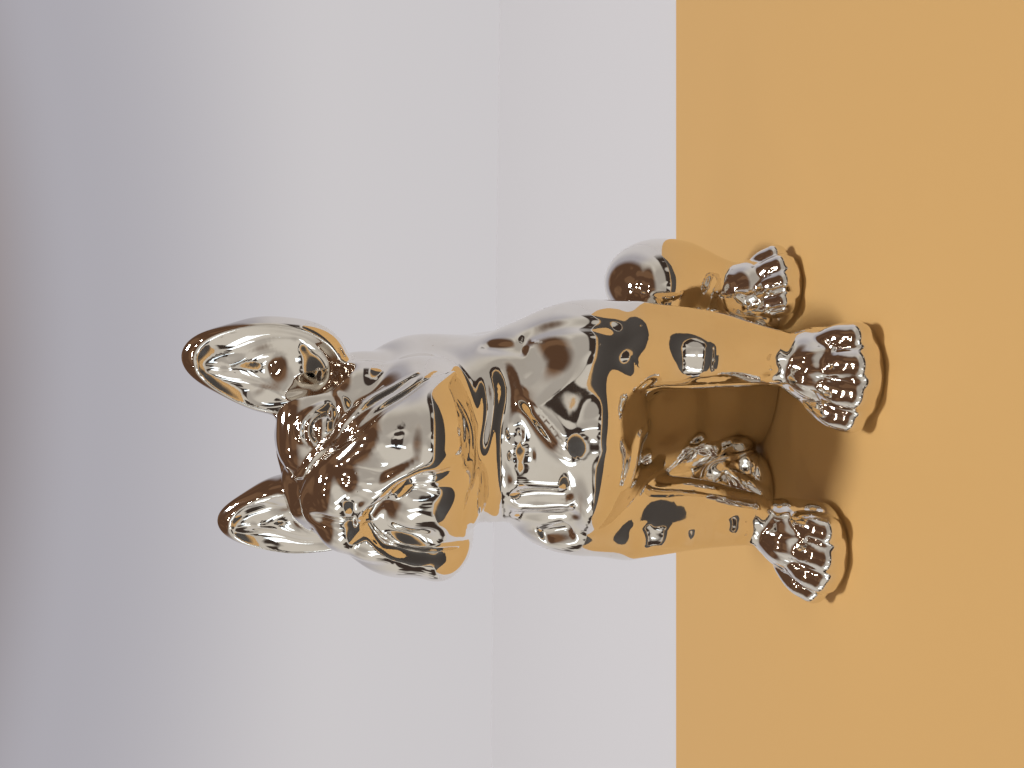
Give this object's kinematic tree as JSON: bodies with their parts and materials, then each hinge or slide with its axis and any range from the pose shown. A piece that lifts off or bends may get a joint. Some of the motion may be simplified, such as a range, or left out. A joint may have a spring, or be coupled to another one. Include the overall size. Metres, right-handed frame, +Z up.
{
  "type": "sitting dog figurine",
  "caption": "Hollow silver-plated ceramic figurine of a broad-chested, bat-eared dog sitting upright with its forelegs apart.",
  "frame": {"origin": "on the shelf, under the middle of the figure's bounding box", "axes": "+Z up, the dog's body looks along -Y, +X is the dog's left"},
  "size_m": [0.118, 0.1285, 0.2143],
  "materials": {
    "trunk_casting": "mirror-bright electroplated silver over glazed ceramic",
    "head_casting": "mirror-bright electroplated silver over glazed ceramic",
    "left_ear": "mirror-bright electroplated silver over glazed ceramic",
    "right_ear": "mirror-bright electroplated silver over glazed ceramic",
    "left_foreleg": "mirror-bright electroplated silver over glazed ceramic",
    "right_foreleg": "mirror-bright electroplated silver over glazed ceramic",
    "left_haunch": "mirror-bright electroplated silver over glazed ceramic",
    "right_haunch": "mirror-bright electroplated silver over glazed ceramic",
    "left_hind_paw": "mirror-bright electroplated silver over glazed ceramic",
    "right_hind_paw": "mirror-bright electroplated silver over glazed ceramic"
  },
  "bodies": {
    "root": {"trunk_casting": "trunk_casting", "head_casting": "head_casting", "left_ear": "left_ear", "right_ear": "right_ear", "left_foreleg": "left_foreleg", "right_foreleg": "right_foreleg", "left_haunch": "left_haunch", "right_haunch": "right_haunch", "left_hind_paw": "left_hind_paw", "right_hind_paw": "right_hind_paw"}
  },
  "joints": []
}
